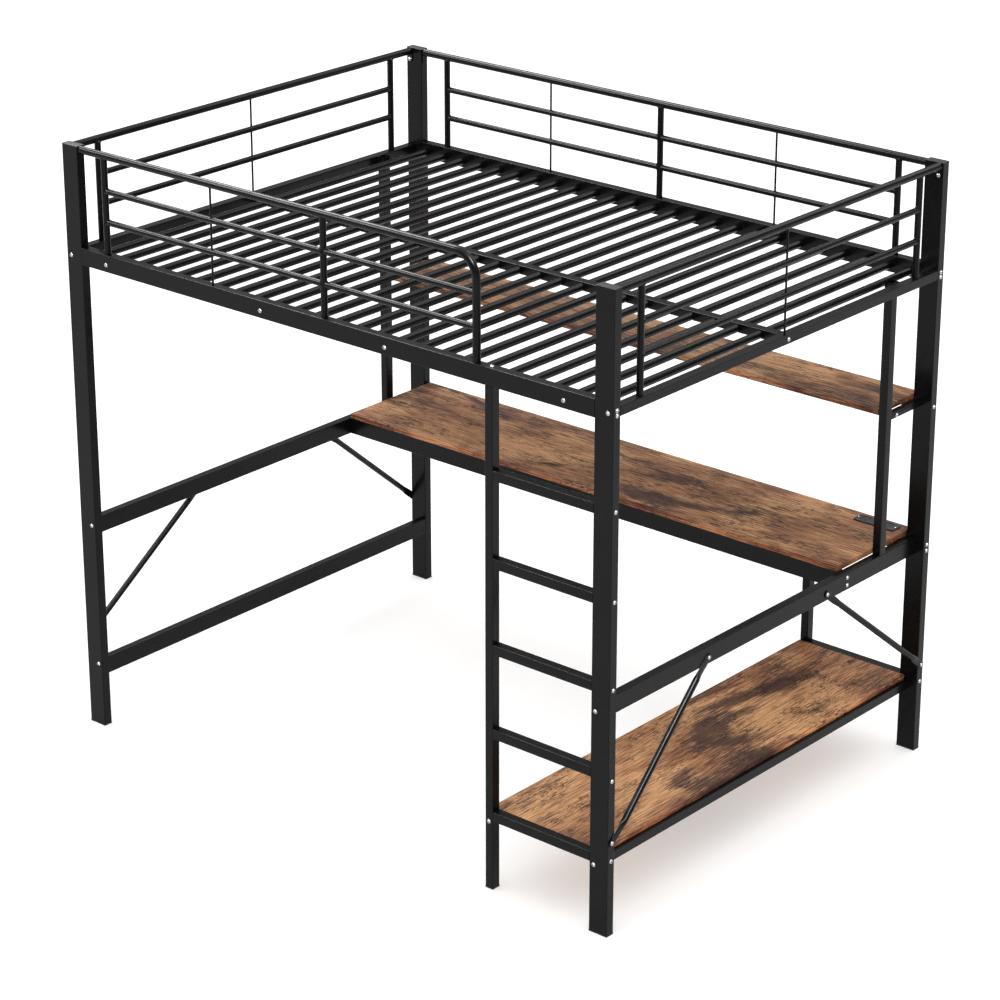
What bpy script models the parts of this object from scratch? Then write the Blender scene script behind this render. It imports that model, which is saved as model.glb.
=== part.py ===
"""A metal loft bed with a desk, an upper shelf and a low shelf under it, and a straight ladder.

The frame is bolted up from black steel tubes. Four flat posts carry two side rails, two end rails
and a centre beam, on which two rows of round slats lie, with a welded guardrail on each side. Under
the bed, end beams carry a full-length desk board and the shelf above it, the ladder leads up at the
right end of the front, and a low shelf board runs from the ladder to the back.

The origin is on the floor, under the middle of the bed. +X is the length, towards the ladder's end,
+Y goes to the back and +Z up. Lengths are in metres.
"""

import math

import bmesh
import bpy
from mathutils import Matrix, Vector

# The whole bed.
LENGTH = 1.965
DEPTH = 1.450
HEIGHT = 1.775
GAP = 0.0003  # left between pieces that touch
HALF_LENGTH = LENGTH / 2
HALF_DEPTH = DEPTH / 2

# Steel tube. Most members are 28 mm deep, so that they sit flush in the posts' plane.
TUBE = 0.028
WALL = 0.0012
CORNER_RADIUS = 0.002
CORNER_SEGMENTS = 2
NARROW = 0.026

# Posts: flat tubes, wide along X.
POST_WIDTH = 0.060
POST_INNER_X = HALF_LENGTH - POST_WIDTH
POST_INNER_Y = HALF_DEPTH - TUBE
FOOT_PLATE = 0.004
TOP_PLATE = 0.002
PLUG_LENGTH = 0.020
PLUG_FIT = 0.0004

# Bed level.
SIDE_RAIL_HEIGHT = 0.050
SIDE_RAIL_TOP = 1.481
BEAM_HEIGHT = 0.0262
BED_TOP = 1.468
SLAT_COUNT = 25
SLAT_PITCH = 0.075
SLAT_RADIUS = 0.0112
SLAT_BORE = 0.0102
SLAT_Z = 1.4538
SLAT_SIDES = 8
STRIP_THICKNESS = 0.003
STRIP_HEIGHT = 0.0228
STRIP_OVERHANG = 0.014

# Guardrails: heights are of the tubes' centre lines, stations are measured from the middle.
TOP_TUBE_RADIUS = 0.011
UPRIGHT_RADIUS = 0.0093
MID_RAIL_RADIUS = 0.0087
ROD_RADIUS = 0.003
TOP_TUBE_Z = HEIGHT - TOP_TUBE_RADIUS
MID_RAIL_HEIGHTS = (1.5729, 1.6623)
GUARD_Y = HALF_DEPTH - TUBE / 2
GUARD_X = HALF_LENGTH - TUBE / 2
SIDE_UPRIGHT_X = 0.829
SIDE_ROD_X = 0.415
END_UPRIGHT_Y = 0.605
LEG_X = 0.5285
LEG_BEND = 0.0685
BEND_SEGMENTS = 6
TUBE_SIDES = 10
ROD_SIDES = 6
TAB_THICKNESS = 0.0025
TAB_RADIUS = 0.010
TAB_BOLT_Z = HEIGHT - 0.036
TAB_SEGMENTS = 6

# Ladder.
STILE_LEFT = 0.5665
RUNG_BOTTOM_Z = 0.2187
RUNG_SPACING = 0.2433
RUNG_COUNT = 5

# Desk level. The desk's beams and the end beams are the same height.
DESK_BEAM_HEIGHT = 0.051
DESK_BEAM_TOP = 0.6635
END_BEAM_INNER = 0.9235
END_BEAM_OUTER = END_BEAM_INNER + NARROW
BOARD_THICKNESS = 0.016
BOARD_BEVEL = 0.0006
DESK_FRONT_Y = 0.354

# Power outlet, let into the desk near its right end.
OUTLET_X = (0.760, 0.899)
OUTLET_Y = (0.662, 0.706)
OUTLET_PROUD = 0.0045
OUTLET_CORNER = 0.006
HOUSING_DEPTH = 0.036
HOUSING_MARGIN = 0.0105
HOUSING_Y = (0.6675, 0.6945)
CUTOUT_CLEARANCE = 0.0005

# Upper shelf.
SHELF_FRONT_Y = 0.5236
SHELF_TOP = 1.095
SHELF_RAIL_HEIGHT = 0.015
SHELF_RAIL_Y = (0.563, 0.588)

# Low shelf.
LOW_BEAM_HEIGHT = 0.0275
LOW_BEAM_TOP = 0.2155
LOW_BOARD_RIGHT = 0.9385
LOW_BACK_BEAM_BOTTOM = 0.205
BACK_LEG_LEFT = 0.5685
LEFT_LOW_BEAM_Z = (0.163, 0.214)

# Braces: round tubes, flattened and bolted at both ends.
BRACE_RADIUS = 0.009
BRACE_FLAT = 0.003
PADDLE_RADIUS = 0.011
PADDLE_LENGTH = 0.045
TAPER_LENGTH = 0.025
BRACE_FOOT = (GUARD_Y, 0.272)
BRACE_HEAD = (0.269, 0.632)
BRACE_SIDES = 12

# Colour, roughness and metallic value of each finish.
LOOKS = {
    "black_steel": ((0.022, 0.022, 0.023, 1.0), 0.38, 0.6),
    "rustic_board": ((0.30, 0.16, 0.075, 1.0), 0.55, 0.0),
    "black_plastic": ((0.018, 0.018, 0.018, 1.0), 0.50, 0.0),
    "outlet_plastic": ((0.035, 0.040, 0.048, 1.0), 0.42, 0.0),
}

# Turns a shape drawn in its own XY plane and extruded along Z to lie along another axis.
AXIS_FRAMES = {
    "X": Matrix(((0, 0, 1), (1, 0, 0), (0, 1, 0))),
    "Y": Matrix(((0, 1, 0), (0, 0, 1), (1, 0, 0))),
    "Z": Matrix.Identity(3),
}


def clear_scene():
    """Empties the scene, whatever it held."""
    for old in list(bpy.data.objects):
        bpy.data.objects.remove(old)


def new_collection(name):
    """A collection of that name, linked to the scene."""
    collection = bpy.data.collections.new(name)
    bpy.context.scene.collection.children.link(collection)
    return collection


def new_material(name, look):
    """A Principled material with a finish's colour, roughness and metallic value."""
    colour, roughness, metallic = LOOKS[look]
    material = bpy.data.materials.new(name)
    material.use_nodes = True
    shader = material.node_tree.nodes["Principled BSDF"]
    shader.inputs["Base Color"].default_value = colour
    shader.inputs["Roughness"].default_value = roughness
    shader.inputs["Metallic"].default_value = metallic
    material.diffuse_color = colour
    return material


def add_part(part, look="black_steel"):
    """Puts a finished piece in the bed's collection, with a material of its own."""
    part.data.materials.clear()
    part.data.materials.append(new_material(part.name + "_finish", look))
    PARTS.objects.link(part)
    return part


def add_helper(helper):
    """Keeps a shape that only cuts or joins a piece out of the model."""
    helper.hide_render = True
    helper.display_type = "WIRE"
    CUTTERS.objects.link(helper)
    return helper


def boolean(part, helper, operation):
    """Cuts the helper's shape from the part, or joins it on."""
    modifier = part.modifiers.new(helper.name, "BOOLEAN")
    modifier.operation = operation
    modifier.solver = "EXACT"
    modifier.object = helper


def rounded_rectangle(width, height, radius, segments):
    """Points round a rectangle centred on the origin, with an arc at each corner."""
    points = []
    for quarter, (side_x, side_y) in enumerate(((1, 1), (-1, 1), (-1, -1), (1, -1))):
        centre_x = side_x * (width / 2 - radius)
        centre_y = side_y * (height / 2 - radius)
        for step in range(segments + 1):
            angle = math.pi / 2 * (quarter + step / max(segments, 1))
            x = centre_x + radius * math.cos(angle)
            y = centre_y + radius * math.sin(angle)
            points.append((x, y))
    return points


def flat_shape(name, outlines, thickness):
    """An object of flat outlines, filled and thickened about the XY plane. Inner outlines are holes."""
    curve = bpy.data.curves.new(name, "CURVE")
    curve.dimensions = "2D"
    curve.fill_mode = "BOTH"
    curve.extrude = thickness / 2
    for outline in outlines:
        spline = curve.splines.new("POLY")
        spline.points.add(len(outline) - 1)
        for point, (x, y) in zip(spline.points, outline):
            point.co = (x, y, 0.0, 1.0)
        spline.use_cyclic_u = True
    return bpy.data.objects.new(name, curve)


def box_tube(name, low, high, axis):
    """A rectangular steel tube that fills the box between two corners, open at both ends."""
    low, high = Vector(low), Vector(high)
    frame = AXIS_FRAMES[axis]
    width, height, length = frame.transposed() @ (high - low)
    outer = rounded_rectangle(width, height, CORNER_RADIUS, CORNER_SEGMENTS)
    inner = rounded_rectangle(width - 2 * WALL, height - 2 * WALL, 0.0, 0)
    tube = flat_shape(name, (outer, inner), length)
    tube.matrix_world = Matrix.Translation((low + high) / 2) @ frame.to_4x4()
    return add_part(tube)


def solid_box(name, low, high):
    """A box between two corners, with its origin at its centre."""
    low, high = Vector(low), Vector(high)
    mesh = bpy.data.meshes.new(name)
    shape = bmesh.new()
    bmesh.ops.create_cube(shape, size=1.0, matrix=Matrix.Diagonal((*(high - low), 1.0)))
    shape.to_mesh(mesh)
    shape.free()
    box = bpy.data.objects.new(name, mesh)
    box.location = (low + high) / 2
    return box


def board(name, low, high):
    """A wood board between two corners, with its edges eased."""
    panel = solid_box(name, low, high)
    bevel = panel.modifiers.new("eased_edges", "BEVEL")
    bevel.width = BOARD_BEVEL
    bevel.segments = 2
    return add_part(panel, "rustic_board")


def shade_round(mesh):
    """Shades a turned or bent shape smooth, apart from its ends."""
    mesh.shade_smooth()
    mesh.set_sharp_from_angle(angle=math.radians(40))


def straight_bars(name, bars, radius, sides):
    """One object that holds a closed round bar for each pair of end points."""
    shape = bmesh.new()
    for start, end in bars:
        start, end = Vector(start), Vector(end)
        along = end - start
        turn = along.to_track_quat("Z", "Y").to_matrix().to_4x4()
        bmesh.ops.create_cone(
            shape,
            cap_ends=True,
            segments=sides,
            radius1=radius,
            radius2=radius,
            depth=along.length,
            matrix=Matrix.Translation((start + end) / 2) @ turn,
        )
    mesh = bpy.data.meshes.new(name)
    shape.to_mesh(mesh)
    shape.free()
    shade_round(mesh)
    return bpy.data.objects.new(name, mesh)


def mesh_from_curve(drawn):
    """Replaces a curve object by a mesh object of the same shape and place, with its caps welded on."""
    name = drawn.name
    bpy.context.scene.collection.objects.link(drawn)
    bpy.context.view_layer.update()
    graph = bpy.context.evaluated_depsgraph_get()
    mesh = bpy.data.meshes.new_from_object(drawn.evaluated_get(graph))
    shape = bmesh.new()
    shape.from_mesh(mesh)
    bmesh.ops.remove_doubles(shape, verts=shape.verts, dist=1e-5)
    shape.to_mesh(mesh)
    shape.free()
    made = bpy.data.objects.new(name, mesh)
    made.matrix_world = drawn.matrix_world
    bpy.data.objects.remove(drawn)
    made.name = name
    return made


def bent_bar(name, path, radius):
    """A round bar along a path of points."""
    curve = bpy.data.curves.new(name, "CURVE")
    curve.dimensions = "3D"
    curve.bevel_depth = radius
    curve.bevel_resolution = (TUBE_SIDES - 4) // 2
    curve.use_fill_caps = True
    spline = curve.splines.new("POLY")
    spline.points.add(len(path) - 1)
    for point, place in zip(spline.points, path):
        point.co = (*place, 1.0)
    bar = mesh_from_curve(bpy.data.objects.new(name, curve))
    shade_round(bar.data)
    return bar


def tube_cap(name, low, high, plug):
    """A plastic cap: a plate between two corners and a plug into the tube above it, or below if negative."""
    cap = solid_box(name, low, high)
    shape = bmesh.new()
    shape.from_mesh(cap.data)
    shape.normal_update()
    towards = math.copysign(1.0, plug)
    face = next(f for f in shape.faces if f.normal.z * towards > 0.9)
    bmesh.ops.inset_region(shape, faces=[face], thickness=WALL + PLUG_FIT, use_even_offset=True)
    raised = bmesh.ops.extrude_face_region(shape, geom=[face])
    bmesh.ops.delete(shape, geom=[face], context="FACES_ONLY")
    tip = [item for item in raised["geom"] if isinstance(item, bmesh.types.BMVert)]
    bmesh.ops.translate(shape, verts=tip, vec=(0.0, 0.0, plug))
    shape.to_mesh(cap.data)
    shape.free()
    return add_part(cap, "black_plastic")


def build_posts():
    """The four posts, with a glide in each foot and a cap in each top."""
    for side, sign_x in (("left", -1), ("right", 1)):
        for row, sign_y in (("front", -1), ("rear", 1)):
            x = sorted((sign_x * POST_INNER_X, sign_x * HALF_LENGTH))
            y = sorted((sign_y * POST_INNER_Y, sign_y * HALF_DEPTH))
            name = f"{row}_{side}"
            bottom, top = FOOT_PLATE + GAP, HEIGHT - TOP_PLATE - GAP
            box_tube(name + "_post", (x[0], y[0], bottom), (x[1], y[1], top), "Z")
            tube_cap(name + "_foot_glide", (x[0], y[0], 0.0), (x[1], y[1], FOOT_PLATE), PLUG_LENGTH)
            cap_low = (x[0], y[0], HEIGHT - TOP_PLATE)
            tube_cap(name + "_top_cap", cap_low, (x[1], y[1], HEIGHT), -PLUG_LENGTH)


def build_bed_frame():
    """Side rails between the posts, end rails, and the beam down the middle."""
    rail_end = POST_INNER_X - GAP
    rail_bottom = SIDE_RAIL_TOP - SIDE_RAIL_HEIGHT
    for row, sign in (("front", -1), ("rear", 1)):
        y = sorted((sign * POST_INNER_Y, sign * HALF_DEPTH))
        low, high = (-rail_end, y[0], rail_bottom), (rail_end, y[1], SIDE_RAIL_TOP)
        box_tube(row + "_side_rail", low, high, "X")
    beam_bottom = BED_TOP - BEAM_HEIGHT
    end_y = POST_INNER_Y - GAP
    for side, sign in (("left", -1), ("right", 1)):
        x = sorted((sign * (HALF_LENGTH - TUBE), sign * HALF_LENGTH))
        box_tube(side + "_end_rail", (x[0], -end_y, beam_bottom), (x[1], end_y, BED_TOP), "Y")
    beam_end = HALF_LENGTH - TUBE - GAP
    low, high = (-beam_end, -TUBE / 2, beam_bottom), (beam_end, TUBE / 2, BED_TOP)
    box_tube("centre_beam", low, high, "X")


def build_slats():
    """Two rows of round slats. Each row is joined by a thin strip at either end of its slats."""
    first = -SLAT_PITCH * (SLAT_COUNT - 1) / 2
    stations = [first + SLAT_PITCH * number for number in range(SLAT_COUNT)]
    strip_end = stations[-1] + STRIP_OVERHANG
    strip_low = SLAT_Z - STRIP_HEIGHT / 2
    strip_high = SLAT_Z + STRIP_HEIGHT / 2
    near, far = TUBE / 2 + GAP, POST_INNER_Y - GAP
    inset = STRIP_THICKNESS / 2
    for row, sign in (("front", -1), ("rear", 1)):
        slats = [
            ((x, sign * (near + inset), SLAT_Z), (x, sign * (far - inset), SLAT_Z))
            for x in stations
        ]
        bores = [
            ((x, sign * (near - inset), SLAT_Z), (x, sign * (far + inset), SLAT_Z))
            for x in stations
        ]
        panel = straight_bars(row + "_slats", slats, SLAT_RADIUS, SLAT_SIDES)
        for edge, start in (("inner", near), ("outer", far - STRIP_THICKNESS)):
            y = sorted((sign * start, sign * (start + STRIP_THICKNESS)))
            strip = solid_box(
                f"{row}_{edge}_slat_strip",
                (-strip_end, y[0], strip_low),
                (strip_end, y[1], strip_high),
            )
            boolean(panel, add_helper(strip), "UNION")
        drill = straight_bars(row + "_slat_bores", bores, SLAT_BORE, SLAT_SIDES)
        boolean(panel, add_helper(drill), "DIFFERENCE")
        add_part(panel)


def end_tab(name, station, inwards):
    """The rounded tab that hangs from a top tube's end and is bolted to the post."""
    rise = TOP_TUBE_Z - TAB_BOLT_Z
    outline = [(TAB_RADIUS, rise), (-TAB_RADIUS, rise)]
    for step in range(TAB_SEGMENTS + 1):
        angle = math.pi * (1 + step / TAB_SEGMENTS)
        outline.append((TAB_RADIUS * math.cos(angle), TAB_RADIUS * math.sin(angle)))
    tab = flat_shape(name, (outline,), TAB_THICKNESS)
    centre = Vector((station + inwards * TAB_THICKNESS / 2, 0.0, TAB_BOLT_Z))
    tab.matrix_world = Matrix.Translation(centre) @ AXIS_FRAMES["X"].to_4x4()
    return mesh_from_curve(tab)


def guardrail(name, place, top_path, tabs, uprights, rods, mid_run, foot):
    """A welded guardrail, drawn along X with its plane at y = 0 and then put in its place.

    top_path is the top tube's line, tabs are (station, inwards) of its bolted ends, uprights and
    rods are stations, mid_run is where the two middle rails start and end, and foot is the height
    of the rail that the uprights stand on.
    """
    upright_lines = [((x, 0, foot), (x, 0, TOP_TUBE_Z)) for x in uprights]
    upright_bores = [((x, 0, foot - WALL), (x, 0, TOP_TUBE_Z)) for x in uprights]
    mid_lines = [((mid_run[0], 0, z), (mid_run[1], 0, z)) for z in MID_RAIL_HEIGHTS]
    rod_lines = [((x, 0, foot), (x, 0, TOP_TUBE_Z)) for x in rods]

    first_step = (Vector(top_path[0]) - Vector(top_path[1])).normalized() * TAB_THICKNESS
    last_step = (Vector(top_path[-1]) - Vector(top_path[-2])).normalized() * TAB_THICKNESS
    bore_path = [
        Vector(top_path[0]) + first_step,
        *top_path[1:-1],
        Vector(top_path[-1]) + last_step,
    ]

    rail = bent_bar(name, top_path, TOP_TUBE_RADIUS)
    joined = [
        straight_bars(name + "_mid_rails", mid_lines, MID_RAIL_RADIUS, TUBE_SIDES),
        straight_bars(name + "_uprights", upright_lines, UPRIGHT_RADIUS, TUBE_SIDES),
        straight_bars(name + "_rods", rod_lines, ROD_RADIUS, ROD_SIDES),
    ]
    bored = [
        straight_bars(name + "_mid_bores", mid_lines, MID_RAIL_RADIUS - WALL, TUBE_SIDES),
        straight_bars(name + "_upright_bores", upright_bores, UPRIGHT_RADIUS - WALL, TUBE_SIDES),
        bent_bar(name + "_top_bore", bore_path, TOP_TUBE_RADIUS - WALL),
    ]
    end_tabs = [
        end_tab(f"{name}_tab_{number}", station, inwards)
        for number, (station, inwards) in enumerate(tabs, start=1)
    ]
    steps = [(joined, "UNION"), (bored, "DIFFERENCE"), (end_tabs, "UNION")]
    for helpers, operation in steps:
        for helper in helpers:
            helper.matrix_world = place @ helper.matrix_world
            boolean(rail, add_helper(helper), operation)
    rail.matrix_world = place
    add_part(rail)


def build_guardrails():
    """Guardrails at the back and both ends, and a shorter one in front that leaves room to climb in."""
    side_end = POST_INNER_X - GAP
    end_end = POST_INNER_Y - GAP
    set_back = TAB_THICKNESS / 5  # the tube stops inside its tab
    side_start = (-side_end + set_back, 0.0, TOP_TUBE_Z)

    guardrail(
        "rear_guardrail",
        Matrix.Translation((0.0, GUARD_Y, 0.0)),
        [side_start, (side_end - set_back, 0.0, TOP_TUBE_Z)],
        [(-side_end, 1), (side_end, -1)],
        (-SIDE_UPRIGHT_X, 0.0, SIDE_UPRIGHT_X),
        (-SIDE_ROD_X, SIDE_ROD_X),
        (-SIDE_UPRIGHT_X, SIDE_UPRIGHT_X),
        SIDE_RAIL_TOP + GAP,
    )

    bend = []
    for step in range(BEND_SEGMENTS + 1):
        angle = math.pi / 2 * (1 - step / BEND_SEGMENTS)
        x = LEG_X - LEG_BEND + LEG_BEND * math.cos(angle)
        z = TOP_TUBE_Z - LEG_BEND + LEG_BEND * math.sin(angle)
        bend.append((x, 0.0, z))
    guardrail(
        "front_guardrail",
        Matrix.Translation((0.0, -GUARD_Y, 0.0)),
        [side_start, *bend, (LEG_X, 0.0, SIDE_RAIL_TOP + GAP)],
        [(-side_end, 1)],
        (-SIDE_UPRIGHT_X, 0.0),
        (-SIDE_ROD_X,),
        (-SIDE_UPRIGHT_X, LEG_X),
        SIDE_RAIL_TOP + GAP,
    )

    for side, sign in (("left", -1), ("right", 1)):
        place = Matrix.Translation((sign * GUARD_X, 0.0, 0.0))
        guardrail(
            side + "_guardrail",
            place @ Matrix.Rotation(math.pi / 2, 4, "Z"),
            [(-end_end + set_back, 0.0, TOP_TUBE_Z), (end_end - set_back, 0.0, TOP_TUBE_Z)],
            [(-end_end, 1), (end_end, -1)],
            (-END_UPRIGHT_Y, END_UPRIGHT_Y),
            (0.0,),
            (-END_UPRIGHT_Y, END_UPRIGHT_Y),
            BED_TOP + GAP,
        )


def build_ladder():
    """One stile under the front rail, and rungs from it to the front right post."""
    front, back = -HALF_DEPTH, -POST_INNER_Y
    right = STILE_LEFT + NARROW
    stile_top = SIDE_RAIL_TOP - SIDE_RAIL_HEIGHT - GAP
    low, high = (STILE_LEFT, front, FOOT_PLATE + GAP), (right, back, stile_top)
    box_tube("ladder_stile", low, high, "Z")
    tube_cap(
        "ladder_foot_glide", (STILE_LEFT, front, 0.0), (right, back, FOOT_PLATE), PLUG_LENGTH
    )
    for number in range(RUNG_COUNT):
        z = RUNG_BOTTOM_Z + RUNG_SPACING * number
        low = (right + GAP, front, z - TUBE / 2)
        high = (POST_INNER_X - GAP, back, z + TUBE / 2)
        box_tube(f"ladder_rung_{number + 1}", low, high, "X")


def build_desk():
    """Beams at both ends, beams along the front and back of the desk, and the desk board."""
    bottom = DESK_BEAM_TOP - DESK_BEAM_HEIGHT
    end_y = POST_INNER_Y - GAP
    for side, sign in (("left", -1), ("right", 1)):
        x = sorted((sign * END_BEAM_INNER, sign * END_BEAM_OUTER))
        low, high = (x[0], -end_y, bottom), (x[1], end_y, DESK_BEAM_TOP)
        box_tube(side + "_desk_end_beam", low, high, "Y")
    x = END_BEAM_INNER - GAP
    low, high = (-x, DESK_FRONT_Y, bottom), (x, DESK_FRONT_Y + NARROW, DESK_BEAM_TOP)
    box_tube("desk_front_beam", low, high, "X")
    x = POST_INNER_X - GAP
    low, high = (-x, POST_INNER_Y, bottom), (x, HALF_DEPTH, DESK_BEAM_TOP)
    box_tube("desk_rear_beam", low, high, "X")

    top = DESK_BEAM_TOP + BOARD_THICKNESS
    desk = board("desk_board", (-x, DESK_FRONT_Y, DESK_BEAM_TOP + GAP), (x, HALF_DEPTH, top))
    cutout = solid_box(
        "outlet_cutout",
        (OUTLET_X[0] + HOUSING_MARGIN - CUTOUT_CLEARANCE, HOUSING_Y[0] - CUTOUT_CLEARANCE, bottom),
        (OUTLET_X[1] - HOUSING_MARGIN + CUTOUT_CLEARANCE, HOUSING_Y[1] + CUTOUT_CLEARANCE, 1.0),
    )
    boolean(desk, add_helper(cutout), "DIFFERENCE")
    return top


def build_outlet(desk_top):
    """A power outlet let into the desk: a faceplate on the board and a housing that hangs in its cut-out."""
    width, depth = OUTLET_X[1] - OUTLET_X[0], OUTLET_Y[1] - OUTLET_Y[0]
    outline = rounded_rectangle(width, depth, OUTLET_CORNER, 4)
    plate = flat_shape("outlet_faceplate", (outline,), OUTLET_PROUD)
    plate_z = desk_top + GAP + OUTLET_PROUD / 2
    plate.location = (sum(OUTLET_X) / 2, sum(OUTLET_Y) / 2, plate_z)
    add_part(plate, "outlet_plastic")
    low = (OUTLET_X[0] + HOUSING_MARGIN, HOUSING_Y[0], desk_top - BOARD_THICKNESS - HOUSING_DEPTH)
    high = (OUTLET_X[1] - HOUSING_MARGIN, HOUSING_Y[1], desk_top)
    add_part(solid_box("outlet_housing", low, high), "black_plastic")


def build_upper_shelf():
    """Uprights from the end beams to the bed, and the shelf board on the rails between them."""
    board_bottom = SHELF_TOP - BOARD_THICKNESS
    rail_bottom = board_bottom - SHELF_RAIL_HEIGHT
    back_of_upright = SHELF_FRONT_Y + TUBE
    for side, sign in (("left", -1), ("right", 1)):
        x = sorted((sign * END_BEAM_INNER, sign * END_BEAM_OUTER))
        low = (x[0], SHELF_FRONT_Y, DESK_BEAM_TOP + GAP)
        box_tube(side + "_shelf_upright", low, (x[1], back_of_upright, BED_TOP), "Z")
        pad = sorted((sign * (END_BEAM_OUTER + GAP), sign * (HALF_LENGTH - TUBE - GAP)))
        spacer = solid_box(
            side + "_upright_spacer",
            (pad[0], SHELF_FRONT_Y, BED_TOP - BEAM_HEIGHT),
            (pad[1], back_of_upright, BED_TOP),
        )
        add_part(spacer)
        low = (x[0], back_of_upright + GAP, rail_bottom)
        high = (x[1], POST_INNER_Y - GAP, board_bottom)
        box_tube(side + "_shelf_bracket", low, high, "Y")

    x = END_BEAM_INNER - GAP
    low, high = (-x, SHELF_RAIL_Y[0], rail_bottom), (x, SHELF_RAIL_Y[1], board_bottom)
    box_tube("shelf_front_rail", low, high, "X")
    x = POST_INNER_X - GAP
    low, high = (-x, POST_INNER_Y, board_bottom - TUBE), (x, HALF_DEPTH, board_bottom)
    box_tube("shelf_rear_rail", low, high, "X")
    board("upper_shelf_board", (-x, SHELF_FRONT_Y, board_bottom + GAP), (x, HALF_DEPTH, SHELF_TOP))


def build_low_shelf():
    """The shelf board behind the ladder, the beams that it lies on, and their leg at the back."""
    end_y = POST_INNER_Y - GAP
    bottom = LOW_BEAM_TOP - LOW_BEAM_HEIGHT
    low, high = (STILE_LEFT, -end_y, bottom), (STILE_LEFT + NARROW, end_y, LOW_BEAM_TOP)
    box_tube("low_shelf_left_beam", low, high, "Y")
    low, high = (END_BEAM_INNER, -end_y, bottom), (END_BEAM_OUTER, end_y, LOW_BEAM_TOP)
    box_tube("low_shelf_right_beam", low, high, "Y")

    leg_right = BACK_LEG_LEFT + NARROW
    leg_top = DESK_BEAM_TOP - DESK_BEAM_HEIGHT - GAP
    low = (BACK_LEG_LEFT, POST_INNER_Y, FOOT_PLATE + GAP)
    box_tube("low_shelf_rear_leg", low, (leg_right, HALF_DEPTH, leg_top), "Z")
    low, high = (BACK_LEG_LEFT, POST_INNER_Y, 0.0), (leg_right, HALF_DEPTH, FOOT_PLATE)
    tube_cap("rear_leg_foot_glide", low, high, PLUG_LENGTH)
    low = (leg_right + GAP, POST_INNER_Y, LOW_BACK_BEAM_BOTTOM)
    high = (POST_INNER_X - GAP, HALF_DEPTH, LOW_BACK_BEAM_BOTTOM + LOW_BEAM_HEIGHT)
    box_tube("low_shelf_rear_beam", low, high, "X")

    low = (STILE_LEFT, -end_y, LOW_BEAM_TOP + GAP)
    board("low_shelf_board", low, (LOW_BOARD_RIGHT, end_y, LOW_BEAM_TOP + BOARD_THICKNESS))


def build_left_low_beam():
    """The beam between the left posts, near the floor."""
    end_y = POST_INNER_Y - GAP
    low = (-END_BEAM_OUTER, -end_y, LEFT_LOW_BEAM_Z[0])
    box_tube("left_low_beam", low, (-END_BEAM_INNER, end_y, LEFT_LOW_BEAM_Z[1]), "Y")


def brace_stations(length):
    """(distance, half width, half thickness, corner power) of each section from one end to the other."""
    flat = BRACE_FLAT / 2
    end = []
    for degrees in (20, 45, 70, 90):
        angle = math.radians(degrees)
        end.append((-PADDLE_RADIUS * math.cos(angle), PADDLE_RADIUS * math.sin(angle), flat, 0.5))
    end.append((PADDLE_LENGTH, PADDLE_RADIUS, flat, 0.5))
    end.append((PADDLE_LENGTH + TAPER_LENGTH, BRACE_RADIUS, BRACE_RADIUS, 1.0))
    other = [(length - distance, *rest) for distance, *rest in reversed(end)]
    return end + other


def build_brace(name, side_x, side_y):
    """A tube from a post's outer face up to the end beam, lofted from flat end to round middle."""
    lift = GAP + BRACE_FLAT / 2
    foot_x, head_x = HALF_LENGTH + lift, END_BEAM_OUTER + lift
    foot = Vector((0.0, side_y * BRACE_FOOT[0], BRACE_FOOT[1]))
    head = Vector((0.0, side_y * BRACE_HEAD[0], BRACE_HEAD[1]))
    length = (head - foot).length
    along = (head - foot).normalized()
    across = along.cross(Vector((1.0, 0.0, 0.0)))
    shape = bmesh.new()
    rings = []
    for distance, half_width, half_thickness, power in brace_stations(length):
        share = (distance - PADDLE_LENGTH) / (length - 2 * PADDLE_LENGTH)
        share = min(max(share, 0.0), 1.0)
        centre = foot + along * distance
        centre.x = side_x * (foot_x + (head_x - foot_x) * share)
        ring = []
        for step in range(BRACE_SIDES):
            angle = 2 * math.pi * step / BRACE_SIDES
            cosine, sine = math.cos(angle), math.sin(angle)
            wide = math.copysign(abs(cosine) ** power, cosine) * half_width
            thick = math.copysign(abs(sine) ** power, sine) * half_thickness
            ring.append(shape.verts.new(centre + across * wide + Vector((thick, 0.0, 0.0))))
        rings.append(ring)
    for ring, following in zip(rings, rings[1:]):
        for step in range(BRACE_SIDES):
            after = (step + 1) % BRACE_SIDES
            shape.faces.new((ring[step], ring[after], following[after], following[step]))
    shape.faces.new(rings[0])
    shape.faces.new(rings[-1])
    bmesh.ops.recalc_face_normals(shape, faces=shape.faces)
    mesh = bpy.data.meshes.new(name)
    shape.to_mesh(mesh)
    shape.free()
    shade_round(mesh)
    add_part(bpy.data.objects.new(name, mesh))


def build_braces():
    """A brace in each lower corner of both ends."""
    for side, side_x in (("left", -1), ("right", 1)):
        for row, side_y in (("front", -1), ("rear", 1)):
            build_brace(f"{row}_{side}_brace", side_x, side_y)


clear_scene()
PARTS = new_collection("loft_bed_with_desk")
CUTTERS = new_collection("cutters")
build_posts()
build_bed_frame()
build_slats()
build_guardrails()
build_ladder()
desk_surface = build_desk()
build_outlet(desk_surface)
build_upper_shelf()
build_low_shelf()
build_left_low_beam()
build_braces()
bpy.context.view_layer.update()
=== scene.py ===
"""The looks of a black steel loft bed with a desk and two shelves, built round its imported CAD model.

The origin is on the floor under the middle of the bed. +X runs along it to the ladder's end, +Y to
the back and +Z up. Lengths are in metres.
"""

import math
import random

import bmesh
import bpy
from mathutils import Matrix, Vector


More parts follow.
